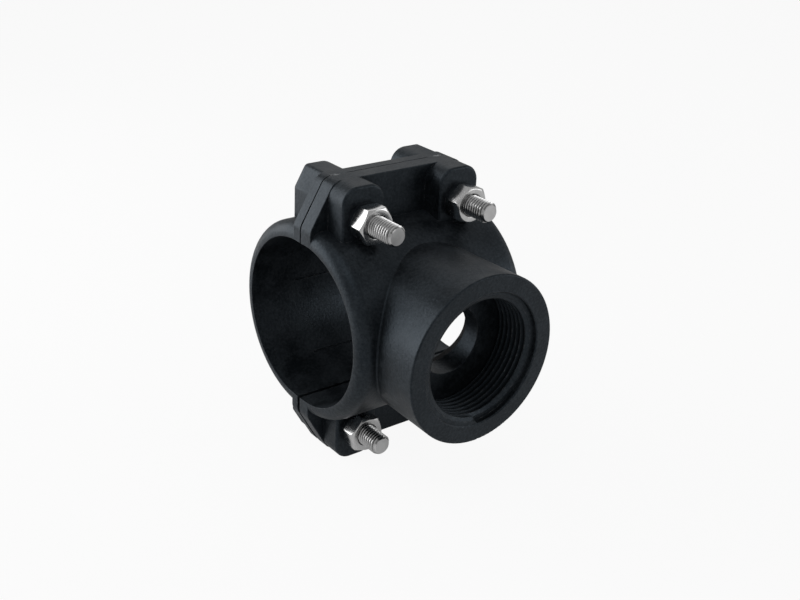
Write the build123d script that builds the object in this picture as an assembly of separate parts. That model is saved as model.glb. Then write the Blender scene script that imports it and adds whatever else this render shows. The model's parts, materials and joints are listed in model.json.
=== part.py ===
from build123d import *
import math
import os

# Clamp saddle for tapping a plastic pipe: two moulded half shells, a seal round the
# tapping hole, and four stainless bolts with their nuts.
# Frame: X runs along the pipe, the outlet looks along -Y and the lower lugs are the feet.
# The pieces are modelled about the parting plane y = 0 and, when they are written, moved so
# that the origin lies at mid length on the line of a pipe that is seated in the rear half.
# All sizes are millimetres.

# ---- shells round the pipe ----
pipe_radius = 31.5            # bore of both halves, for a 63 mm pipe
seal_room = 2.8               # each half bore is centred this far from the parting plane
shell_wall = 5.7
shell_length = 76.2
rim_round = 5.0               # outer edge at both ends of the shells
rim_round_limit = 0.9         # most of the wall that the rounding may take
seam_gap_top = 0.4            # slit between the halves at the upper end of the flanges
seam_gap_bottom = 1.9         # and at the lower end

# ---- clamping flanges along the parting plane ----
flange_height = 54.8          # top of flanges and lugs, from the pipe's line
front_flange_thickness = 6.3  # from the parting plane
rear_flange_thickness = 4.6
flange_shoulder = 37.5        # height at which the flange's end starts to lean inwards
flange_lean = 9.9             # how far the end has leant inwards at the top
flange_corner = 5.0
flange_edge = 0.25            # rounding of the flange's outer edge

# ---- lugs that carry the bolts ----
bolt_spacing_along = 43.4
bolt_edge_distance = 12.85    # from the lug's top to the bolt's line
lug_width = 18.0
front_lug_depth = 15.3        # from the parting plane to the lug's face
rear_lug_depth = 16.3
lug_corner = 6.5
lug_edge = 1.0
rear_lug_lean = 4.6           # how far a rear lug's outer side has leant in at the top
rear_lug_lean_corner = 2.0    # rounding where the leaning side begins and ends
seat_pad_radius = 6.4         # round pad under each nut
seat_pad_height = 1.6
nut_room_clearance = 1.0      # round the nut's corners, cut into the curved shell
lug_contact_height = 4.0      # at the lugs' outer ends the two halves touch

# ---- threaded outlet ----
outlet_reach = 59.6           # outlet face from the parting plane
outlet_face_radius = 32.3
outlet_draft = 1.3            # degrees, the boss narrows towards the shell
outlet_root_fillet = 0.6
outlet_edge = 0.6
mouth_radius = 25.4           # smooth entry in front of the thread
mouth_depth = 2.3
mouth_chamfer = 0.4
thread_major_radius = 23.9    # 1 1/2 inch pipe thread, cut inwards from this wall
outlet_depth = 18.5
tapping_hole_radius = 13.1

# ---- seal round the tapping hole ----
seal_inner_radius = 16.5
seal_width = 5.0
seal_groove_depth = 2.0
seal_side_clearance = 0.15
seal_pipe_clearance = 0.3     # before the seal is squeezed

# ---- grooves inside the rear half, along the pipe ----
grip_groove_length = 36.6
grip_groove_width = 1.0
grip_groove_depth = 0.5
grip_groove_angles = (-57.0, 0.0, 57.0)

# ---- fasteners, M8 ----
bolt_diameter = 8.0
bolt_head_flats = 13.0
bolt_head_height = 5.3
bolt_tip_chamfer = 1.0
bolt_hole_clearance = 0.6     # all round the shank
head_pocket_depth = 4.3
head_pocket_clearance = 0.6
nut_flats = 13.0
nut_height = 6.2
nut_bore_clearance = 0.1
hex_chamfer_angle = 30.0
hex_face_share = 0.96         # flat circle on a hexagon's end, as a share of its flats
nut_turns = {"upper_left": 1.0, "upper_right": 46.0, "lower_left": 45.5, "lower_right": 17.0}

# Each bolt's length under the head, nominally 45, and how it stands in its wider hole:
# first along the pipe, then upwards.
bolt_lengths = {"upper_left": 46.6, "upper_right": 44.9, "lower_left": 44.5, "lower_right": 45.0}
bolt_shifts = {
    "upper_left": (0.45, 0.1),
    "upper_right": (0.4, 0.15),
    "lower_left": (-0.3, 0.2),
    "lower_right": (0.0, 0.0),
}

# ---- worked out ----
shell_radius = pipe_radius + shell_wall
half_length = shell_length / 2
bolt_radius = bolt_diameter / 2
bolt_x = bolt_spacing_along / 2
bolt_z = flange_height - bolt_edge_distance
hole_places = {
    "upper_left": (-bolt_x, bolt_z),
    "upper_right": (bolt_x, bolt_z),
    "lower_left": (-bolt_x, -bolt_z),
    "lower_right": (bolt_x, -bolt_z),
}
chamber_floor = outlet_reach - outlet_depth
seal_outer_radius = seal_inner_radius + seal_width
head_seat = rear_lug_depth - head_pocket_depth
nut_seat = -front_lug_depth - seat_pad_height
nut_room_radius = nut_flats / math.sqrt(3) + nut_room_clearance
far = 2 * (outlet_reach + flange_height)
overcut = 1.0                 # how far a cut runs past the face that it opens


def rod(radius, start, end, x=0.0, z=0.0):
    """Cylinder along Y between y = start and y = end."""
    place = Location((x, (start + end) / 2, z), (90, 0, 0))
    return place * Cylinder(radius, abs(end - start))


def hex_block(flats, start, end, x, z, turn=0.0, bevel_start=False, bevel_end=False):
    """Hexagonal prism along Y with turned corners on the ends that ask for them."""
    corner = flats / math.sqrt(3)
    profile = Plane.XZ * Rot(0, 0, turn) * RegularPolygon(corner, 6)
    height = end - start
    block = extrude(profile, amount=height, dir=(0, 1, 0))
    tip = flats / 2 * hex_face_share
    fall = (corner - tip) * math.tan(math.radians(hex_chamfer_angle))
    start_rim = [(tip, 0), (corner, fall)] if bevel_start else [(corner, 0)]
    end_rim = [(corner, height - fall), (tip, height)] if bevel_end else [(corner, height)]
    outline = Polyline([(0, 0)] + start_rim + end_rim + [(0, height)], close=True)
    turned = revolve(make_face(outline), Axis.Y, 360)
    return Location((x, start, z)) * (block & turned)


def shell(side):
    """Half of the pipe shell, side -1 in front and +1 behind, still without its bore."""
    barrel = Rot(0, 90, 0) * Cylinder(shell_radius, shell_length)
    rounding = min(rim_round, rim_round_limit * shell_wall)
    barrel = fillet(barrel.edges().filter_by(GeomType.CIRCLE), rounding)
    return Pos(0, side * seal_room, 0) * barrel & keep_side(side)


def keep_side(side):
    """Everything on one side of the parting plane, less half of the slit, a slim wedge."""
    half_gap = (seam_gap_top + seam_gap_bottom) / 4
    widening = (seam_gap_bottom - seam_gap_top) / 4 / flange_height
    tilt = side * math.degrees(math.atan(widening))
    block = Pos(0, side * far / 2, 0) * Box(far, far, far)
    return Pos(0, side * half_gap, 0) * Rot(tilt, 0, 0) * block


def flange_outline():
    """Side view of a flange: straight ends by the shell, then leaning in to the top."""
    top = half_length - flange_lean
    corners = Polyline(
        (half_length, -flange_shoulder), (half_length, flange_shoulder),
        (top, flange_height), (-top, flange_height),
        (-half_length, flange_shoulder), (-half_length, -flange_shoulder),
        (-top, -flange_height), (top, -flange_height),
        close=True,
    )
    face = make_face(corners)
    return fillet(face.vertices(), flange_corner)


def raised(side, profile, depth, edge):
    """Profile carried from the parting plane to a depth, with its outer edge rounded."""
    block = extrude(Plane.XZ * profile, amount=-side * depth)
    outer = block.edges().group_by(Axis.Y)[-1 if side > 0 else 0]
    return fillet(outer, edge)


def lug_room(side, z):
    """One side of the slit and, at the lug's outer end, all the way to the other half."""
    end = Pos(0, side * far / 2, math.copysign(flange_height, z))
    return keep_side(side) + end * Box(far, far, 2 * lug_contact_height)


def front_lug(x, z):
    """Block that carries one bolt in front, with its two outer corners rounded."""
    top = math.copysign(flange_height, z)
    profile = Pos(x, top / 2) * Rectangle(lug_width, flange_height)
    corners = profile.vertices().sort_by(lambda v: abs(v.Y - top))[:2]
    block = raised(-1, fillet(corners, lug_corner), front_lug_depth, lug_edge)
    return block & lug_room(-1, z)


def rear_lug(x, z):
    """The same block behind, but its outer side leans inwards like the flange's end."""
    top = math.copysign(flange_height, z)
    inner = x - math.copysign(lug_width / 2, x)
    outer = x + math.copysign(lug_width / 2, x)
    leant = outer - math.copysign(rear_lug_lean, x)
    fall = rear_lug_lean * (flange_height - flange_shoulder) / flange_lean
    shoulder = top - math.copysign(fall, z)
    outline = Polyline((inner, 0), (inner, top), (leant, top), (outer, shoulder), (outer, 0),
                       close=True)
    profile = make_face(outline)
    profile = fillet(profile.vertices().sort_by_distance((inner, top, 0))[0], lug_corner)
    for end in ((leant, top, 0), (outer, shoulder, 0)):
        profile = fillet(profile.vertices().sort_by_distance(end)[0], rear_lug_lean_corner)
    return raised(1, profile, rear_lug_depth, lug_edge) & lug_room(1, z)


def pipe_bore(side, extra=0.0):
    """The pipe's passage through one half, or a wider cylinder on the same line."""
    bore = Rot(0, 90, 0) * Cylinder(pipe_radius + extra, far)
    return Pos(0, side * seal_room, 0) * bore


def outlet_boss():
    """Tapered boss, from the outlet face back to the parting plane."""
    slope = math.tan(math.radians(outlet_draft))
    back_radius = outlet_face_radius - slope * outlet_reach
    outline = Polyline(
        (0, 0), (back_radius, 0), (outlet_face_radius, -outlet_reach), (0, -outlet_reach),
        close=True,
    )
    return revolve(make_face(outline), Axis.Y, 360)


def is_boss_root(edge):
    """True for the closed curve on which the boss runs into the curved shell."""
    middle = edge.center(CenterOf.BOUNDING_BOX)
    box = edge.bounding_box()
    wide = box.size.X > outlet_face_radius
    between = box.max.Y < -seal_room and box.min.Y > -outlet_reach + outlet_edge
    return wide and between and abs(middle.X) < outlet_edge


def outlet_passage():
    """Wider mouth with a broken edge, threaded chamber and the tapping hole behind it."""
    before = -outlet_reach - overcut
    chamber = rod(thread_major_radius, before, -chamber_floor)
    hole = rod(tapping_hole_radius, -chamber_floor - overcut, 0)
    mouth_floor = -outlet_reach + mouth_depth
    mouth = Polyline(
        (0, before), (mouth_radius + mouth_chamfer + overcut, before),
        (mouth_radius, -outlet_reach + mouth_chamfer), (mouth_radius, mouth_floor),
        (0, mouth_floor),
        close=True,
    )
    return chamber + hole + revolve(make_face(mouth), Axis.Y, 360)


def seal_ring(inner, outer, floor, top):
    """Ring round the outlet's line, between two cylinders that lie along the pipe."""
    ring = rod(outer, -far / 2, 0) - rod(inner, -far / 2 - overcut, overcut)
    return (ring & floor) - top


def make_outlet_half():
    half = shell(-1) + (outlet_boss() & keep_side(-1))
    root = half.edges().filter_by(is_boss_root)
    half = fillet(root, outlet_root_fillet)
    rim = half.edges().filter_by(GeomType.CIRCLE).sort_by(Axis.Y)[0]
    half = fillet(rim, outlet_edge)
    flange = raised(-1, flange_outline(), front_flange_thickness, flange_edge)
    half += flange & keep_side(-1)
    for x, z in hole_places.values():
        half += front_lug(x, z)
        half -= rod(nut_room_radius, -outlet_reach, -front_lug_depth, x, z)
        half += rod(seat_pad_radius, nut_seat, -front_lug_depth, x, z)
    half -= pipe_bore(-1)
    half -= outlet_passage()
    half -= seal_ring(seal_inner_radius, seal_outer_radius,
                      pipe_bore(-1, seal_groove_depth), pipe_bore(-1, -overcut))
    for x, z in hole_places.values():
        half -= rod(bolt_radius + bolt_hole_clearance, -far, far, x, z)
    return half


def make_rear_half():
    flange = raised(1, flange_outline(), rear_flange_thickness, flange_edge)
    half = shell(1) + (flange & keep_side(1))
    for x, z in hole_places.values():
        half += rear_lug(x, z)
    half -= pipe_bore(1)
    for angle in grip_groove_angles:
        groove = Box(grip_groove_length, 2 * grip_groove_depth, grip_groove_width)
        half -= Pos(0, seal_room, 0) * Rot(angle, 0, 0) * Pos(0, pipe_radius, 0) * groove
    for x, z in hole_places.values():
        half -= rod(bolt_radius + bolt_hole_clearance, -far, far, x, z)
        pocket_flats = bolt_head_flats + 2 * head_pocket_clearance
        half -= hex_block(pocket_flats, head_seat, far, x, z)
    return half


def make_seal():
    inner = seal_inner_radius + seal_side_clearance
    outer = seal_outer_radius - seal_side_clearance
    pipe = Rot(0, 90, 0) * Cylinder(pipe_radius + seal_pipe_clearance, far)
    return seal_ring(inner, outer, pipe_bore(-1, seal_groove_depth), Pos(0, seal_room, 0) * pipe)


def make_bolt(x, z, length):
    head = hex_block(bolt_head_flats, head_seat, head_seat + bolt_head_height, x, z,
                     bevel_end=True)
    shank = rod(bolt_radius, head_seat - length, head_seat, x, z)
    tip = shank.edges().group_by(Axis.Y)[0]
    return head + chamfer(tip, bolt_tip_chamfer)


def make_nut(x, z, turn):
    block = hex_block(nut_flats, nut_seat - nut_height, nut_seat, x, z, turn, True, True)
    return block - rod(bolt_radius + nut_bore_clearance, -far, far, x, z)


def write(node, solid):
    """Moves a piece from the parting plane to the seated pipe's line and writes it."""
    placed = Pos(0, -seal_room, 0) * solid
    placed.label = node
    export_step(placed, os.path.join("parts", node + ".step"))


os.makedirs("parts", exist_ok=True)
write("outlet_half", make_outlet_half())
write("rear_half", make_rear_half())
write("saddle_seal", make_seal())
for place, (hole_x, hole_z) in hole_places.items():
    along, up = bolt_shifts[place]
    write("bolt_" + place, make_bolt(hole_x + along, hole_z + up, bolt_lengths[place]))
    write("nut_" + place, make_nut(hole_x + along, hole_z + up, nut_turns[place]))
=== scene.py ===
import json
import math

import bmesh
import bpy
from bpy.props import FloatProperty, FloatVectorProperty, PointerProperty
from bpy.types import Operator, Panel, PropertyGroup
from mathutils import Matrix, Quaternion, Vector


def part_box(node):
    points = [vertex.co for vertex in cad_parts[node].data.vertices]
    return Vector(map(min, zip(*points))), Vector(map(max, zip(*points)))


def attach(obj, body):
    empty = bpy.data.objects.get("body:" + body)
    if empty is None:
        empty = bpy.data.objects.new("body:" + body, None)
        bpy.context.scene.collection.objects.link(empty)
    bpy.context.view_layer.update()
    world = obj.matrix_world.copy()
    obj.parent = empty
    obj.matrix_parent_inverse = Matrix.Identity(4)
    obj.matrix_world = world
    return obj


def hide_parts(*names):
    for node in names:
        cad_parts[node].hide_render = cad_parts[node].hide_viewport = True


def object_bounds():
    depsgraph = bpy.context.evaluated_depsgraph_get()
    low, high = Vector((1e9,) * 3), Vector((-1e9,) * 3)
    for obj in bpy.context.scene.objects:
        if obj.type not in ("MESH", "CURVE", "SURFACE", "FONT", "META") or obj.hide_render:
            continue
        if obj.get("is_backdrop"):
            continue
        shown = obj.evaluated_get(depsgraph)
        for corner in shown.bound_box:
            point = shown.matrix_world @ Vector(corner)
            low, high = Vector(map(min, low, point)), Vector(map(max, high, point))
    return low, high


bl_info = {
    "name": "Tapping Saddle Dressing",
    "version": (1, 0, 0),
    "blender": (4, 5, 0),
    "location": "View3D > Sidebar > Saddle",
    "description": "Dresses a clamp saddle with threads, stainless fasteners, a seal, finishes and a studio",
    "category": "Object",
}

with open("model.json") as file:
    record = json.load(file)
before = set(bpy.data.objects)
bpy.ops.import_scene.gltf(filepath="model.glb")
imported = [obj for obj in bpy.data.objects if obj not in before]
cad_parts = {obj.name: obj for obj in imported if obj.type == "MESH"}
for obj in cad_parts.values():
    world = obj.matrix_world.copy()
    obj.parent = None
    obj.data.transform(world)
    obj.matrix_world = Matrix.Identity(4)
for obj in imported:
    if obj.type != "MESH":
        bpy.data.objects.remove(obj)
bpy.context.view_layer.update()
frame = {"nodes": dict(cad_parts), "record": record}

MM = 0.001
BODY = "root"
PLACES = ("upper_left", "upper_right", "lower_left", "lower_right")

TURN_STEPS = 72                 # columns round every turned form, twelve to each flat of a hexagon
FLAT_ANGLE = math.radians(60)   # one flat of a hexagon, seen from its middle
SHARP_ANGLE = math.radians(22)  # an edge that bends more than this is sharp
MERGE = 0.002 * MM              # points nearer than this are one point
EDGE_BREAK_STEPS = 2            # segments of a broken edge
SEAT_RING = 1.0 * MM            # plain end of the shank, just under a bolt's head
SEAL_BEAD_STEPS = 12            # lines across the two beads

THREAD_SOFTNESS = 0.07          # rounding of the outlet thread's crests and roots, as a share of its depth
BOLT_THREAD_FADE = 0.5          # slope at which a bolt's thread root rises to its shank
START_SLACK = 2 * MERGE         # a point this far in front of the outlet thread's start counts as started
START_TURN_SLACK = math.radians(0.1)    # and so does a column this far round in front of it
ROOT_SLACK = 0.002              # a point this share of the depth below a thread's root is still thread

SEAM_SCUFFS = {"bolt_upper_left": -2.5 * MM, "bolt_upper_right": 1.0 * MM}  # along X from each bolt
SEAM_SCUFF_SIZE = (2.6 * MM, 1.0 * MM, 1.0 * MM)                            # half sizes
EDGE_SAMPLES = 4                # rays that look for an edge
EDGE_SPAN = (0.985, 0.90)       # how well a face and its rounded self agree, from the open to an edge
CREASE_SAMPLES = 6              # rays that look for a corner
CREASE_SPAN = (0.80, 0.45)      # how open a place is, from the open to deep in a corner
MIX_FACTOR, MIX_FIRST, MIX_SECOND, MIX_RESULT = 0, 6, 7, 2      # sockets of a colour mix

WHITE = (1.0, 1.0, 1.0, 1.0)
CAMERA_RANGE = (0.01, 100.0)    # in metres
LAMPS = {                       # width and height, direction from the saddle, and distance, in metres
    "side": ((0.5, 0.5), (-0.66, 0.72, 0.22), 0.5),
    "back": ((0.6, 0.6), (0.46, 0.71, 0.72), 1.0),
    "top": ((0.6, 0.6), (-0.35, -0.20, 0.92), 0.8),
    "front": ((0.58, 0.28), (0.74, -0.62, 0.26), 0.8),
}


def length(label, text, value):
    """A size in metres, given here in millimetres."""
    return FloatProperty(
        name=label, description=text, default=value * MM, min=0.0, precision=5, unit="LENGTH"
    )


def angle(label, text, degrees):
    return FloatProperty(name=label, description=text, default=math.radians(degrees), subtype="ANGLE")


def share(label, text, value):
    return FloatProperty(name=label, description=text, default=value, min=0.0, max=1.0)


def colour(label, text, value):
    return FloatVectorProperty(
        name=label, description=text, default=value, size=3, subtype="COLOR", min=0.0, max=1.0
    )


def power(label, text, value):
    return FloatProperty(name=label, description=text, default=value, min=0.0, unit="POWER")


def mount_radius(name):
    """Radius, in millimetres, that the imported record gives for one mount."""
    entry = next(entry for entry in frame["record"]["mounts"] if entry["name"] == name)
    return entry["dims"]["r_mm"]


OUTLET_RADIUS = mount_radius("outlet_thread")
PIPE_RADIUS = mount_radius("pipe_clamp")
OUTLET_FACE_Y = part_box("outlet_half")[0].y


class OutletThreadSettings(PropertyGroup):
    pitch: length("Pitch", "From one turn to the next, eleven turns to the inch", 25.4 / 11)
    wall_radius: length("Wall radius", "Wall that the thread stands on", OUTLET_RADIUS)
    depth: length("Thread depth", "Height of the thread above its root", 1.45)
    start: angle("Start", "Where the first turn begins, down from the outlet's right side", 95.0)
    lead_in: length("Lead in", "From the outlet's face to the first turn", 0.4)
    mouth_radius: length("Mouth radius", "Wall of the wider mouth", 25.4)
    run_out: length("Run out", "Where the last turn has faded, from the outlet's face", 18.3)
    backing: length("Backing", "How far the thread's back is sunk behind the mouth's wall", 0.4)
    root_relief: length("Root relief", "The root stands this far proud of the wall", 0.02)


class FastenerSettings(PropertyGroup):
    bolt_diameter: length("Bolt diameter", "Nominal size of the thread", 8.0)
    pitch: length("Pitch", "From one turn to the next", 1.25)
    thread_depth: length("Thread depth", "From crest to root", 0.66)
    thread_length: length("Thread length", "From the bolt's tip", 22.0)
    tip_chamfer: length("Tip chamfer", "Turned end of the thread", 1.0)
    across_flats: length("Across flats", "Nut and bolt head", 13.0)
    head_height: length("Head height", "Bolt head", 5.3)
    face_share: share("Face share", "Flat circle on a hexagon's end, as a share of its flats", 0.96)
    corner_fall: angle("Corner fall", "Slope of the turned corners", 30.0)
    edge_break: length("Edge break", "Rounding of the nuts' sharp edges", 0.12)
    nut_bore: length("Nut bore", "Radius of the nut's bore", 4.1)
    countersink: length("Countersink", "Bevel at both mouths of the nut's bore", 0.45)


class SealSettings(PropertyGroup):
    groove_radius: length("Groove radius", "Floor of the groove, about the pipe's line", PIPE_RADIUS + 2.0)
    pipe_radius: length("Pipe side radius", "Beads' tops, about the pipe's line", PIPE_RADIUS + 0.3)
    width: length("Width", "Across the ring", 4.7)
    bead_depth: length("Bead depth", "Valley between the two sealing beads", 0.8)
    corner: length("Corner", "Rounding of the ring's edges", 0.7)


class FinishSettings(PropertyGroup):
    # the darkest moulding colour is also the painted shade in corners and grooves
    moulding_dark_and_shade: colour("Moulding, dark", "Black polypropylene at its densest", (0.0028, 0.0036, 0.0045))
    moulding_light: colour("Moulding, light", "The same where it has flowed thin", (0.0240, 0.0280, 0.0320))
    moulding_sheen: colour("Moulding, sheen", "Cool tint of the light that glances off", (0.66, 0.83, 1.00))
    scuff: colour("Scuffs", "Rubbed plastic", (0.34, 0.35, 0.36))
    edge_rounding: length("Edge rounding", "How round the mouldings' edges look", 0.35)
    rub_reach: length("Rub reach", "How far from an edge the plastic is rubbed", 0.5)
    # this reach also sets how far the painted shade in corners spreads
    dull_and_shade_reach: length("Crease reach", "How far from a corner the plastic stays dull", 5.0)
    crease_dulling: share("Crease dulling", "Roughness added in corners and grooves", 0.45)
    pit_depth: length("Pit depth", "Fine pits in the mouldings", 0.09)
    grain_depth: length("Grain depth", "Finer grain in the mouldings", 0.05)
    # painted shade in the thread roots, and real stains
    steel_root_shade_and_stain: colour("Steel, dark", "Stainless steel in thread roots and stains", (0.16, 0.16, 0.16))
    steel_light: colour("Steel, light", "Stainless steel on crests and faces", (0.70, 0.70, 0.70))
    wave_depth: length("Wave depth", "Faint waves in the formed steel", 0.01)
    draw_depth: length("Draw mark depth", "Fine marks in the steel", 0.004)
    sawn_dulling: share("Sawn dulling", "Roughness added on the bolts' sawn ends", 0.22)
    rubber_dark: colour("Rubber, dark", "Seal rubber", (0.012, 0.012, 0.013))
    rubber_light: colour("Rubber, light", "Bloom on the seal rubber", (0.036, 0.036, 0.038))
    rubber_rounding: length("Rubber rounding", "How round the seal's edges look", 0.3)
    rubber_grain_depth: length("Rubber grain depth", "Fine grain of the seal", 0.03)


class StudioSettings(PropertyGroup):
    azimuth: angle("Azimuth", "Camera's turn about the saddle", -38.56)
    elevation: angle("Elevation", "Camera's height above the horizon", 24.64)
    roll: angle("Roll", "Camera's lean", 3.0)
    distance: length("Distance", "From the camera to its target", 424.5)
    target: FloatVectorProperty(
        name="Target", description="Point that the camera looks at", size=3, unit="LENGTH",
        default=(1.36 * MM, -11.98 * MM, 3.25 * MM),
    )
    lens: FloatProperty(
        name="Lens", description="Focal length in millimetres", default=50.07, min=1.0, unit="CAMERA"
    )
    floor_size: length("Floor", "Side of the square floor", 6000.0)
    floor_colour: colour("Floor colour", "Pale matt floor", (0.90, 0.90, 0.90))
    floor_glow: share("Floor glow", "Plain white in the floor, where the camera sees it", 0.93)
    floor_mirrored: share("Mirrored floor", "Plain white in the floor, where gloss sees it", 0.24)
    backdrop: share("Backdrop", "Brightness of the room, where the camera sees it", 0.965)
    room_mirrored: share("Mirrored room", "Plain white in the room, where gloss sees it", 0.25)
    world_level: share("World level", "Brightness of the room as a light", 0.16)
    side_power: power("Side lamp", "Soft lamp behind the left", 1.9)
    back_power: power("Back lamp", "Soft lamp behind the right", 0.55)
    top_power: power("Top lamp", "Soft lamp overhead", 0.9)
    front_power: power("Front lamp", "Small soft lamp in front", 1.0)


SETTINGS = {
    "saddle_thread": OutletThreadSettings,
    "saddle_fasteners": FastenerSettings,
    "saddle_seal_ring": SealSettings,
    "saddle_finish": FinishSettings,
    "saddle_studio": StudioSettings,
}


def new_object(name, data):
    """Puts data in the scene as an object at the origin."""
    made = bpy.data.objects.new(name, data)
    bpy.context.scene.collection.objects.link(made)
    return made


# ---- meshes ----

def turned(points, close=True, rise=0.0):
    """Spins an outline of (radius, y) points once round the Y axis, climbing by rise."""
    bm = bmesh.new()
    verts = [bm.verts.new((radius, y, 0.0)) for radius, y in points]
    edges = [bm.edges.new(pair) for pair in zip(verts, verts[1:])]
    if close:
        edges.append(bm.edges.new((verts[-1], verts[0])))
    bmesh.ops.spin(
        bm, geom=verts + edges, cent=(0, 0, 0), axis=(0, 1, 0), dvec=(0, rise / TURN_STEPS, 0),
        angle=math.tau, steps=TURN_STEPS, use_merge=(rise == 0.0),
    )
    bmesh.ops.remove_doubles(bm, verts=bm.verts, dist=MERGE)
    return bm


def radius_of(vert):
    return math.hypot(vert.co.x, vert.co.z)


def set_radius(vert, radius):
    old = radius_of(vert)
    vert.co.x *= radius / old
    vert.co.z *= radius / old


def close_seams(bm):
    """Merges what has fallen together and makes the faces look outwards."""
    bmesh.ops.remove_doubles(bm, verts=bm.verts, dist=MERGE)
    bmesh.ops.dissolve_degenerate(bm, edges=bm.edges, dist=MERGE)
    bmesh.ops.recalc_face_normals(bm, faces=bm.faces)


def sharp_edges(bm):
    return [e for e in bm.edges if e.is_manifold and e.calc_face_angle(0.0) > SHARP_ANGLE]


def break_edges(bm, offset):
    """Rounds every sharp edge a little, as tumbling does."""
    bmesh.ops.bevel(
        bm, geom=sharp_edges(bm), offset=offset, offset_type="OFFSET", segments=EDGE_BREAK_STEPS,
        profile=0.5, affect="EDGES", material=-1, clamp_overlap=True,
    )


def note_sawn_end(bm, tip):
    """Marks the flat end of a bolt, which is rougher than what was rolled or formed."""
    layer = bm.verts.layers.float.new("sawn")
    for vert in bm.verts:
        vert[layer] = float(abs(vert.co.y - tip) < MERGE)


def note_height(bm, low, high):
    """Keeps how far each point lies from low (0) to high (1), for the painted shade in thread roots.

    What lies well below low is a bolt's end and no thread, and counts as high.
    """
    layer = bm.verts.layers.float.new("crest")
    for vert in bm.verts:
        height = (radius_of(vert) - low) / (high - low)
        vert[layer] = 1.0 if height < -ROOT_SLACK else min(1.0, max(0.0, height))


def piece(name, bm, material, slot, *nodes):
    """Makes an object of a mesh, in place, sets what it rides on, and hides the parts it takes the place of.
    """
    for face in bm.faces:
        face.smooth = True
    for edge in bm.edges:
        edge.smooth = edge.calc_face_angle(0.0) < SHARP_ANGLE
    mesh = bpy.data.meshes.new(name)
    bm.to_mesh(mesh)
    bm.free()
    mesh.materials.append(material)
    made = new_object(name, mesh)
    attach(made, BODY)
    if nodes:
        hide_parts(*nodes)
    return made


def middle(node):
    low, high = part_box(node)
    return (low + high) / 2


def hexagon_radius(flats, turn):
    """Distance from the middle of a hexagon to its side, with a corner at turn 0."""
    return flats / 2 / math.cos(turn % FLAT_ANGLE - FLAT_ANGLE / 2)


def make_hexagon(bm, fasteners, start, end, bevel_start=True):
    """Makes six flats of a turned blank's outermost ring, from y = start to y = end.

    Its corners are turned off at the end, and at the start too where bevel_start says so.
    """
    tip = fasteners.across_flats / 2 * fasteners.face_share
    slope = math.tan(fasteners.corner_fall)
    for vert in bm.verts:
        if radius_of(vert) < tip + MERGE:
            continue
        radius = hexagon_radius(fasteners.across_flats, math.atan2(vert.co.z, vert.co.x))
        set_radius(vert, radius)
        at_start = vert.co.y < (start + end) / 2
        fall = (radius - tip) * slope
        if not at_start:
            vert.co.y = end - fall
        elif bevel_start:
            vert.co.y = start + fall


def corner_turn(node):
    """Angle about Y at which the node's hexagon has a corner."""
    centre = middle(node)
    offsets = [v.co - centre for v in frame["nodes"][node].data.vertices]
    farthest = max(offsets, key=lambda offset: math.hypot(offset.x, offset.z))
    return math.atan2(farthest.z, farthest.x)


def put_at(bm, x, z, turn=0.0):
    """Turns a mesh about the Y axis and moves it to its line."""
    place = Matrix.Translation((x, 0, z)) @ Matrix.Rotation(-turn, 4, "Y")
    bmesh.ops.transform(bm, matrix=place, verts=bm.verts)


def external_thread(fasteners, tip, end):
    """Screw thread from the bolt's tip up to a plain shank that starts at y = end."""
    crest = fasteners.bolt_diameter / 2
    root = crest - fasteners.thread_depth
    pitch = fasteners.pitch
    turns = math.ceil((end - tip) / pitch) + 2
    form = ((0.0, crest), (0.125, crest), (0.4375, root), (0.6875, root))   # share of the pitch, radius
    points = [
        (radius, tip + (turn - 1 + along) * pitch)
        for turn in range(turns) for along, radius in form
    ]
    bm = turned(points, close=False, rise=pitch)
    tip_radius = crest - fasteners.tip_chamfer
    for vert in bm.verts:
        vert.co.y = min(end, max(tip, vert.co.y))
        cone = tip_radius + vert.co.y - tip
        run_out = crest - (end - vert.co.y) * BOLT_THREAD_FADE
        set_radius(vert, max(run_out, min(radius_of(vert), cone)))
    close_seams(bm)
    rim = [
        e for e in bm.edges if e.is_boundary and all(abs(v.co.y - tip) < MERGE for v in e.verts)
    ]
    disc = bmesh.ops.contextual_create(bm, geom=rim)["faces"]
    bmesh.ops.poke(bm, faces=disc)
    return bm


def join(bm, other):
    """Adds the other mesh to the first and frees it."""
    mesh = bpy.data.meshes.new("joined")
    other.to_mesh(mesh)
    other.free()
    bm.from_mesh(mesh)
    bpy.data.meshes.remove(mesh)


def bolt_mesh(fasteners, node):
    """Hexagon bolt: head, plain shank and thread as one closed skin."""
    low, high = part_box(node)
    seat = high.y - fasteners.head_height
    thread_end = low.y + fasteners.thread_length
    shank = fasteners.bolt_diameter / 2
    tip = fasteners.across_flats / 2 * fasteners.face_share
    corner = hexagon_radius(fasteners.across_flats, 0.0)
    head = turned([
        (shank, thread_end), (shank, seat - SEAT_RING), (shank, seat), (corner, seat),
        (corner, high.y), (tip, high.y), (tip / 2, high.y), (0.0, high.y),
    ], close=False)
    make_hexagon(head, fasteners, seat, high.y, bevel_start=False)
    bmesh.ops.recalc_face_normals(head, faces=head.faces)
    bolt = external_thread(fasteners, low.y, thread_end)
    join(bolt, head)
    close_seams(bolt)
    return bolt


def nut_mesh(fasteners, node):
    """Hexagon nut with turned corners and a bevelled bore."""
    low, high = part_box(node)
    bore = fasteners.nut_bore
    mouth = bore + fasteners.countersink
    tip = fasteners.across_flats / 2 * fasteners.face_share
    corner = hexagon_radius(fasteners.across_flats, 0.0)
    bm = turned([
        (bore, low.y + fasteners.countersink), (mouth, low.y), (tip, low.y), (corner, low.y),
        (corner, high.y), (tip, high.y), (mouth, high.y), (bore, high.y - fasteners.countersink),
    ])
    make_hexagon(bm, fasteners, low.y, high.y)
    close_seams(bm)
    return bm


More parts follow.
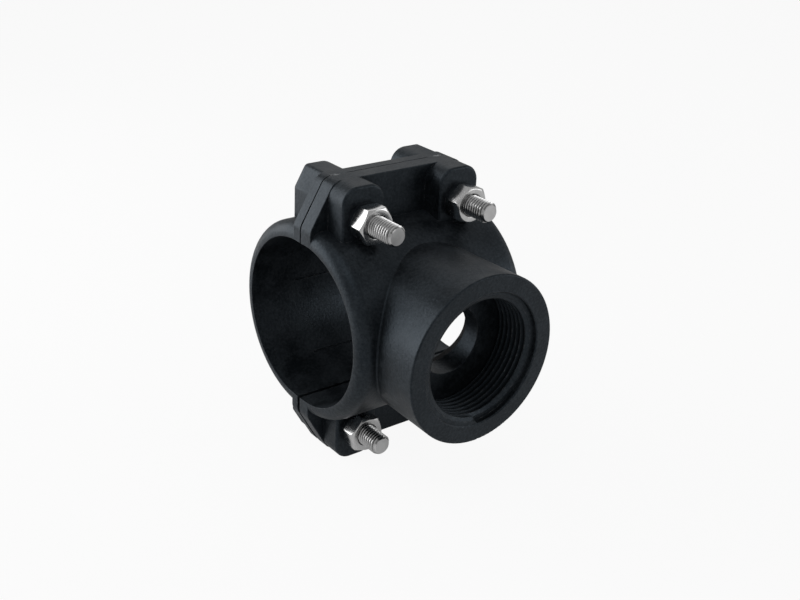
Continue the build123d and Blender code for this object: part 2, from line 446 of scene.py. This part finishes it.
def internal_thread(settings):
    """Screw thread on the outlet's wall, closed at its back inside the wall.

    Its first turn begins bluntly near the lowest point and climbs clockwise into the outlet.
    """
    root = settings.wall_radius - settings.root_relief
    crest = root - settings.depth
    soft = settings.depth * THREAD_SOFTNESS
    first = OUTLET_FACE_Y + settings.lead_in
    last = OUTLET_FACE_Y + settings.run_out
    turns = math.ceil((last - first) / settings.pitch) + 2
    form = (        # share of the pitch, radius
        (0.0, root), (0.09, root - soft), (0.38, crest + soft),
        (0.5, crest), (0.62, crest + soft), (0.91, root - soft),
    )
    points = [
        (radius, first + (turn - 1 - settings.start / math.tau + along) * settings.pitch)
        for turn in range(turns) for along, radius in form
    ]
    bm = turned(points, close=False, rise=settings.pitch)
    back = settings.mouth_radius + settings.backing
    sunk = settings.mouth_radius + settings.backing / 2     # between the mouth's wall and the back
    for vert in bm.verts:
        turn = math.atan2(-vert.co.z, vert.co.x)
        past_start = (turn - settings.start + START_TURN_SLACK) % math.tau
        started = vert.co.y > first + settings.pitch * past_start / math.tau - START_SLACK
        vert.co.y = min(last, max(first, vert.co.y))
        fade = root - (last - vert.co.y)
        radius = min(root, max(radius_of(vert), fade))
        set_radius(vert, radius if started else sunk)
    bmesh.ops.remove_doubles(bm, verts=bm.verts, dist=MERGE)
    bmesh.ops.dissolve_degenerate(bm, edges=bm.edges, dist=MERGE)
    rims = [e for e in bm.edges if e.is_boundary]
    grown = bmesh.ops.extrude_edge_only(bm, edges=rims)["geom"]
    for vert in (v for v in grown if isinstance(v, bmesh.types.BMVert)):
        set_radius(vert, back)
    outer = [e for e in bm.edges if e.is_boundary]
    bmesh.ops.bridge_loops(bm, edges=outer)
    close_seams(bm)
    return bm


def seal_mesh(settings):
    """Ring that fills its groove and meets the pipe with two beads, bent over the pipe."""
    low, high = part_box("saddle_seal")
    outer = (high.z - low.z) / 2
    inner = outer - settings.width
    corner, bevel = settings.corner, settings.corner / 3
    groove_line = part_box("outlet_half")[1].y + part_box("rear_half")[0].y
    thickness = settings.groove_radius - settings.pipe_radius - groove_line
    beads = []
    for step in range(SEAL_BEAD_STEPS + 1):
        along = step / SEAL_BEAD_STEPS
        valley = (1 + math.cos(2 * math.tau * along)) / 2       # 1 at both edges and in the middle
        beads.append((outer - settings.width * along, thickness - settings.bead_depth * valley))
    floor_side = [
        (inner, corner), (inner + bevel, bevel), (inner + corner, 0.0),
        (outer - corner, 0.0), (outer - bevel, bevel), (outer, corner),
    ]
    bm = turned(floor_side + beads)
    for vert in bm.verts:
        floor = groove_line - math.sqrt(settings.groove_radius ** 2 - vert.co.z ** 2)
        top = -math.sqrt(settings.pipe_radius ** 2 - vert.co.z ** 2)
        vert.co.y = floor + vert.co.y / thickness * (top - floor)
    close_seams(bm)
    return bm


# ---- finishes ----

class Finish:
    """A material and short ways to add nodes to it."""

    def __init__(self, name):
        self.material = bpy.data.materials.new(name)
        self.material.use_nodes = True
        self.tree = self.material.node_tree
        self.shader = self.tree.nodes["Principled BSDF"]
        self.where = self.add("ShaderNodeTexCoord", {}).outputs["Object"]

    def put(self, socket, value):
        """Links an output to the socket, or sets the socket to a plain value."""
        if isinstance(value, bpy.types.NodeSocket):
            self.tree.links.new(value, socket)
        else:
            socket.default_value = value

    def add(self, kind, inputs, **settings):
        """Adds a node, with inputs for its sockets by name and settings for its own values."""
        node = self.tree.nodes.new(kind)
        for name, value in settings.items():
            setattr(node, name, value)
        for name, value in inputs.items():
            self.put(node.inputs[name], value)
        return node

    def noise(self, scale, detail, roughness, vector=None):
        """Noise from 0 to 1, with scale its grains to the metre."""
        inputs = {
            "Scale": scale, "Detail": detail, "Roughness": roughness, "Vector": vector or self.where,
        }
        return self.add("ShaderNodeTexNoise", inputs).outputs["Fac"]

    def mapped(self, scale, location=(0.0, 0.0, 0.0)):
        """Object coordinates, scaled along each axis and then moved."""
        inputs = {"Vector": self.where, "Location": location, "Scale": scale}
        return self.add("ShaderNodeMapping", inputs).outputs["Vector"]

    def attribute(self, name):
        return self.add("ShaderNodeAttribute", {}, attribute_name=name).outputs["Fac"]

    def remap(self, value, span, new_span=(0.0, 1.0)):
        """Stretches a span of the value to a new span, and keeps it within."""
        inputs = dict(zip(("From Min", "From Max", "To Min", "To Max"), (*span, *new_span)), Value=value)
        return self.add("ShaderNodeMapRange", inputs).outputs["Result"]

    def calculate(self, operation, first, second):
        node = self.add("ShaderNodeMath", {}, operation=operation)
        self.put(node.inputs[0], first)
        self.put(node.inputs[1], second)
        return node.outputs["Value"]

    def plus(self, first, second):
        return self.calculate("ADD", first, second)

    def times(self, first, second):
        return self.calculate("MULTIPLY", first, second)

    def larger(self, first, second):
        return self.calculate("MAXIMUM", first, second)

    def blend(self, factor, first, second):
        """Mixes two colours."""
        node = self.add("ShaderNodeMix", {}, data_type="RGBA")
        self.put(node.inputs[MIX_FACTOR], factor)
        for socket, value in ((MIX_FIRST, first), (MIX_SECOND, second)):
            is_socket = isinstance(value, bpy.types.NodeSocket)
            self.put(node.inputs[socket], value if is_socket else (*value, 1.0))
        return node.outputs[MIX_RESULT]

    def bump(self, height, strength, distance, normal=None):
        inputs = {"Height": height, "Strength": strength, "Distance": distance}
        if normal:
            inputs["Normal"] = normal
        return self.add("ShaderNodeBump", inputs).outputs["Normal"]

    def rounded(self, radius):
        """Surface normal with its edges rounded."""
        return self.add("ShaderNodeBevel", {"Radius": radius}, samples=EDGE_SAMPLES).outputs["Normal"]

    def edges(self, reach):
        """1 along sharp edges, 0 on faces."""
        true_normal = self.add("ShaderNodeNewGeometry", {}).outputs["Normal"]
        product = self.add("ShaderNodeVectorMath", {}, operation="DOT_PRODUCT")
        self.put(product.inputs[0], self.rounded(reach))
        self.put(product.inputs[1], true_normal)
        return self.remap(product.outputs["Value"], EDGE_SPAN)

    def dull_shaded_creases(self, reach):
        """1 deep in corners and grooves, where the surface stays dull and shade is painted in, 0 in the
        open.
        """
        node = self.add(
            "ShaderNodeAmbientOcclusion", {"Distance": reach}, samples=CREASE_SAMPLES, only_local=True
        )
        return self.remap(node.outputs["AO"], CREASE_SPAN)

    def spot(self, place, size):
        """1 at a place, falling to 0 at the given half sizes from it."""
        scale = tuple(1 / half for half in size)
        shift = tuple(-at / half for at, half in zip(place, size))
        inputs = {"Vector": self.mapped(scale, shift)}
        return self.add("ShaderNodeTexGradient", inputs, gradient_type="SPHERICAL").outputs["Fac"]

    def shade(self, **inputs):
        """Sets the shader's sockets, given by name with _ for a space."""
        for name, value in inputs.items():
            self.put(self.shader.inputs[name.replace("_", " ")], value)
        return self.material


def rubbed_plastic(finish, looks):
    """1 where plastic is rubbed pale: along sharp edges, and in two torn spots on top of the seam."""
    worn = finish.noise(scale=420.0, detail=4.0, roughness=0.7)
    rubbed = finish.times(finish.edges(looks.rub_reach), finish.remap(worn, (0.5, 0.68), (0.0, 0.35)))
    torn = finish.remap(finish.noise(scale=700.0, detail=3.0, roughness=0.6), (0.40, 0.55))
    seam_y = (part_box("outlet_half")[1].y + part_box("rear_half")[0].y) / 2
    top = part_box("outlet_half")[1].z
    for node, shift in SEAM_SCUFFS.items():
        mark = finish.spot((middle(node).x + shift, seam_y, top), SEAM_SCUFF_SIZE)
        mark = finish.times(finish.remap(mark, (0.05, 0.5)), torn)
        rubbed = finish.larger(rubbed, mark)
    return rubbed


def moulded_plastic(looks):
    """Black polypropylene: cloudy flow, pits and fine grain, dull corners with painted shade, and rubbed
    edges.
    """
    finish = Finish("moulded_plastic")
    flow = finish.noise(scale=95.0, detail=4.0, roughness=0.55)
    patch = finish.noise(scale=24.0, detail=2.0, roughness=0.5)
    grain = finish.noise(scale=2300.0, detail=3.0, roughness=0.6)
    pits = finish.noise(scale=900.0, detail=2.0, roughness=0.5)
    dull_shaded_crease = finish.dull_shaded_creases(looks.dull_and_shade_reach)

    fine = finish.plus(pits, finish.times(grain, 0.6))
    mottle = finish.plus(finish.times(flow, 0.6), finish.times(fine, 0.6))
    base = finish.blend(finish.remap(mottle, (0.68, 0.95)), looks.moulding_dark_and_shade, looks.moulding_light)
    # painted shade: corners and grooves darkened towards the darkest moulding colour
    base = finish.blend(dull_shaded_crease, base, looks.moulding_dark_and_shade)
    base = finish.blend(rubbed_plastic(finish, looks), base, looks.scuff)

    cloudy = finish.remap(patch, (0.35, 0.65), (0.40, 0.46))
    roughness = finish.plus(cloudy, finish.remap(flow, (0.35, 0.65), (-0.06, 0.07)))
    roughness = finish.plus(roughness, finish.times(dull_shaded_crease, looks.crease_dulling))

    normal = finish.rounded(looks.edge_rounding)
    normal = finish.bump(pits, strength=1.0, distance=looks.pit_depth, normal=normal)
    normal = finish.bump(grain, strength=0.70, distance=looks.grain_depth, normal=normal)
    return finish.shade(
        Base_Color=base, Roughness=roughness, Normal=normal,
        IOR=1.49, Specular_IOR_Level=0.40, Specular_Tint=(*looks.moulding_sheen, 1.0),
    )


def stainless_steel(looks):
    """Cold-formed and turned stainless steel: faint waves, fine draw marks, stains, painted shade in the
    thread roots and sawn ends.
    """
    finish = Finish("stainless_steel")
    stain = finish.noise(scale=210.0, detail=3.0, roughness=0.6)
    drawn = finish.noise(scale=1700.0, detail=2.0, roughness=0.5, vector=finish.mapped((1.0, 0.15, 1.0)))
    wave = finish.noise(scale=420.0, detail=1.0, roughness=0.5)
    sawn = finish.attribute("sawn")

    # painted shade: thread roots darkened towards the dark steel, together with real stains
    crest = finish.larger(finish.attribute("crest"), sawn)
    unshaded_unstained = finish.times(crest, finish.remap(stain, (0.3, 0.6), (0.8, 1.0)))
    base = finish.blend(unshaded_unstained, looks.steel_root_shade_and_stain, looks.steel_light)

    stained = finish.remap(stain, (0.35, 0.65), (0.17, 0.25))
    roughness = finish.plus(stained, finish.remap(drawn, (0.35, 0.65), (-0.02, 0.04)))
    roughness = finish.plus(roughness, finish.times(sawn, looks.sawn_dulling))

    normal = finish.bump(wave, strength=0.10, distance=looks.wave_depth)
    normal = finish.bump(drawn, strength=0.15, distance=looks.draw_depth, normal=normal)
    return finish.shade(Base_Color=base, Metallic=1.0, Roughness=roughness, Normal=normal)


def seal_rubber(looks):
    """Matt black rubber with a faint bloom."""
    finish = Finish("seal_rubber")
    bloom = finish.noise(scale=160.0, detail=4.0, roughness=0.6)
    grain = finish.noise(scale=3000.0, detail=2.0, roughness=0.5)
    base = finish.blend(finish.remap(bloom, (0.45, 0.7)), looks.rubber_dark, looks.rubber_light)
    roughness = finish.remap(bloom, (0.35, 0.65), (0.62, 0.80))
    normal = finish.rounded(looks.rubber_rounding)
    normal = finish.bump(grain, strength=0.4, distance=looks.rubber_grain_depth, normal=normal)
    return finish.shade(Base_Color=base, Roughness=roughness, Normal=normal, Specular_IOR_Level=0.4)


FINISHES = {
    "moulding": moulded_plastic,
    "stainless": stainless_steel,
    "seal": seal_rubber,
}


def finish_for(slot):
    """The material of one slot, made when it is first asked for."""
    key = "saddle_" + slot
    made = bpy.data.materials.get(key)
    if made is None:
        made = FINISHES[slot](bpy.context.scene.saddle_finish)
        made.name = key
    return made


# ---- studio ----

def whiteness(tree, seen, mirrored):
    """Share of plain white: seen for the camera, mirrored for what gloss and clear parts show."""
    path = tree.nodes.new("ShaderNodeLightPath").outputs
    shares = {"Is Camera Ray": seen, "Is Glossy Ray": mirrored, "Is Transmission Ray": mirrored}
    total = None
    for ray, part in shares.items():
        node = tree.nodes.new("ShaderNodeMath")
        node.operation = "MULTIPLY_ADD"
        node.use_clamp = True
        tree.links.new(path[ray], node.inputs[0])
        node.inputs[1].default_value = part
        node.inputs[2].default_value = 0.0
        if total:
            tree.links.new(total, node.inputs[2])
        total = node.outputs["Value"]
    return total


def floor_material(studio):
    """Matt pale floor that takes the shadow, stays near white when seen, and is clear from below."""
    material = bpy.data.materials.new("floor")
    material.use_nodes = True
    tree = material.node_tree
    tree.nodes.clear()
    add, link = tree.nodes.new, tree.links.new
    matt = add("ShaderNodeBsdfDiffuse")
    matt.inputs["Color"].default_value = (*studio.floor_colour, 1.0)
    above = add("ShaderNodeMixShader")
    link(whiteness(tree, studio.floor_glow, studio.floor_mirrored), above.inputs["Fac"])
    link(matt.outputs["BSDF"], above.inputs[1])
    link(add("ShaderNodeEmission").outputs["Emission"], above.inputs[2])
    both = add("ShaderNodeMixShader")
    link(add("ShaderNodeNewGeometry").outputs["Backfacing"], both.inputs["Fac"])
    link(above.outputs["Shader"], both.inputs[1])
    link(add("ShaderNodeBsdfTransparent").outputs["BSDF"], both.inputs[2])
    link(both.outputs["Shader"], add("ShaderNodeOutputMaterial").inputs["Surface"])
    return material


def lay_floor(studio):
    """Floor at the height of the saddle's lowest point."""
    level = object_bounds()[0].z
    bm = bmesh.new()
    bmesh.ops.create_grid(bm, x_segments=1, y_segments=1, size=studio.floor_size / 2)
    bmesh.ops.translate(bm, vec=(0, 0, level), verts=bm.verts)
    mesh = bpy.data.meshes.new("floor")
    bm.to_mesh(mesh)
    bm.free()
    mesh.materials.append(floor_material(studio))
    new_object("floor", mesh)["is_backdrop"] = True


def hang_lamp(name, watts, size, direction, distance):
    """Soft lamp, size wide and high, that points at the saddle."""
    lamp = bpy.data.lights.new(name, "AREA")
    lamp.energy = watts
    lamp.shape = "RECTANGLE"
    lamp.size, lamp.size_y = size
    made = new_object(name, lamp)
    back = Vector(direction).normalized()
    made.location = back * distance
    made.rotation_mode = "QUATERNION"
    made.rotation_quaternion = back.to_track_quat("Z", "Y")


def plain_room(tree, strength):
    """An even white room of one brightness."""
    node = tree.nodes.new("ShaderNodeBackground")
    node.inputs["Color"].default_value = WHITE
    node.inputs["Strength"].default_value = strength
    return node.outputs["Background"]


def light_room(studio):
    """Dim as a light, and near white where the camera sees it."""
    world = bpy.data.worlds.new("room")
    bpy.context.scene.world = world
    world.use_nodes = True
    tree = world.node_tree
    tree.nodes.clear()
    link = tree.links.new
    mix = tree.nodes.new("ShaderNodeMixShader")
    link(whiteness(tree, 1.0, studio.room_mirrored), mix.inputs["Fac"])
    link(plain_room(tree, studio.world_level), mix.inputs[1])
    link(plain_room(tree, studio.backdrop), mix.inputs[2])
    link(mix.outputs["Shader"], tree.nodes.new("ShaderNodeOutputWorld").inputs["Surface"])


def place_camera(studio):
    """Camera that looks at its target from the set turn, height and distance."""
    camera = bpy.data.cameras.new("camera")
    camera.lens = studio.lens
    camera.clip_start, camera.clip_end = CAMERA_RANGE
    made = new_object("camera", camera)
    turn, height = studio.azimuth, studio.elevation
    level = math.cos(height)
    back = Vector((math.sin(turn) * level, -math.cos(turn) * level, math.sin(height)))
    made.location = Vector(studio.target) + back * studio.distance
    made.rotation_mode = "QUATERNION"
    lean = Quaternion((0, 0, 1), studio.roll)
    made.rotation_quaternion = (-back).to_track_quat("-Z", "Y") @ lean
    bpy.context.scene.camera = made


# ---- operators ----

class SADDLE_OT_finish_mouldings(Operator):
    """Gives the two moulded half shells their plastic"""
    bl_idname = "saddle.finish_mouldings"
    bl_label = "Finish Mouldings"

    def execute(self, context):
        for node in ("outlet_half", "rear_half"):
            mesh = frame["nodes"][node].data
            mesh.materials.clear()
            mesh.materials.append(finish_for("moulding"))
        return {"FINISHED"}


class SADDLE_OT_cut_outlet_thread(Operator):
    """Stands the screw thread on the outlet's wall"""
    bl_idname = "saddle.cut_outlet_thread"
    bl_label = "Cut Outlet Thread"

    def execute(self, context):
        bm = internal_thread(context.scene.saddle_thread)
        piece("outlet_screw_thread", bm, finish_for("moulding"), "moulding")
        return {"FINISHED"}


class SADDLE_OT_lay_seal(Operator):
    """Lays the rubber seal in its groove"""
    bl_idname = "saddle.lay_seal"
    bl_label = "Lay Seal"

    def execute(self, context):
        bm = seal_mesh(context.scene.saddle_seal_ring)
        piece("rubber_seal", bm, finish_for("seal"), "seal", "saddle_seal")
        return {"FINISHED"}


class SADDLE_OT_drive_bolts(Operator):
    """Puts the four threaded bolts in"""
    bl_idname = "saddle.drive_bolts"
    bl_label = "Drive Bolts"

    def execute(self, context):
        fasteners = context.scene.saddle_fasteners
        crest = fasteners.bolt_diameter / 2
        root = crest - fasteners.thread_depth
        root_shade_top = crest - fasteners.thread_depth / 3     # from here up the thread has no painted shade
        for place in PLACES:
            node = "bolt_" + place
            bm = bolt_mesh(fasteners, node)
            note_sawn_end(bm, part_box(node)[0].y)
            note_height(bm, root, root_shade_top)
            put_at(bm, middle(node).x, middle(node).z)
            piece("threaded_bolt_" + place, bm, finish_for("stainless"), "stainless", node)
        return {"FINISHED"}


class SADDLE_OT_turn_nuts(Operator):
    """Turns the four nuts on, each to its own angle"""
    bl_idname = "saddle.turn_nuts"
    bl_label = "Turn Nuts"

    def execute(self, context):
        fasteners = context.scene.saddle_fasteners
        for place in PLACES:
            node = "nut_" + place
            bm = nut_mesh(fasteners, node)
            note_height(bm, 0.0, fasteners.nut_bore)
            axis = middle("bolt_" + place)
            put_at(bm, axis.x, axis.z, corner_turn(node))
            break_edges(bm, fasteners.edge_break)
            piece("hexagon_nut_" + place, bm, finish_for("stainless"), "stainless", node)
        return {"FINISHED"}


class SADDLE_OT_set_studio(Operator):
    """Lays the floor, hangs the lamps and places the camera"""
    bl_idname = "saddle.set_studio"
    bl_label = "Set Studio"

    def execute(self, context):
        studio = context.scene.saddle_studio
        lay_floor(studio)
        light_room(studio)
        for name, (size, direction, distance) in LAMPS.items():
            hang_lamp(name + "_lamp", getattr(studio, name + "_power"), size, direction, distance)
        place_camera(studio)
        context.scene.view_settings.view_transform = "Standard"
        return {"FINISHED"}


OPERATORS = (
    SADDLE_OT_finish_mouldings,
    SADDLE_OT_cut_outlet_thread,
    SADDLE_OT_lay_seal,
    SADDLE_OT_drive_bolts,
    SADDLE_OT_turn_nuts,
    SADDLE_OT_set_studio,
)


class SADDLE_PT_dressing(Panel):
    """Lists the saddle's pieces and their sizes"""
    bl_idname = "SADDLE_PT_dressing"
    bl_label = "Tapping Saddle"
    bl_space_type = "VIEW_3D"
    bl_region_type = "UI"
    bl_category = "Saddle"

    def draw(self, context):
        for operator in OPERATORS:
            self.layout.operator(operator.bl_idname)
        for name in SETTINGS:
            box = self.layout.box()
            group = getattr(context.scene, name)
            for key in group.bl_rna.properties.keys():
                if key not in ("rna_type", "name"):
                    box.prop(group, key)


CLASSES = (*SETTINGS.values(), *OPERATORS, SADDLE_PT_dressing)


def register():
    for cls in CLASSES:
        bpy.utils.register_class(cls)
    for name, group in SETTINGS.items():
        setattr(bpy.types.Scene, name, PointerProperty(type=group))


def unregister():
    for name in SETTINGS:
        delattr(bpy.types.Scene, name)
    for cls in reversed(CLASSES):
        bpy.utils.unregister_class(cls)


def main():
    """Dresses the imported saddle."""
    register()
    bpy.ops.saddle.finish_mouldings()
    bpy.ops.saddle.cut_outlet_thread()
    bpy.ops.saddle.lay_seal()
    bpy.ops.saddle.drive_bolts()
    bpy.ops.saddle.turn_nuts()
    bpy.ops.saddle.set_studio()


if __name__ == "__main__":
    main()
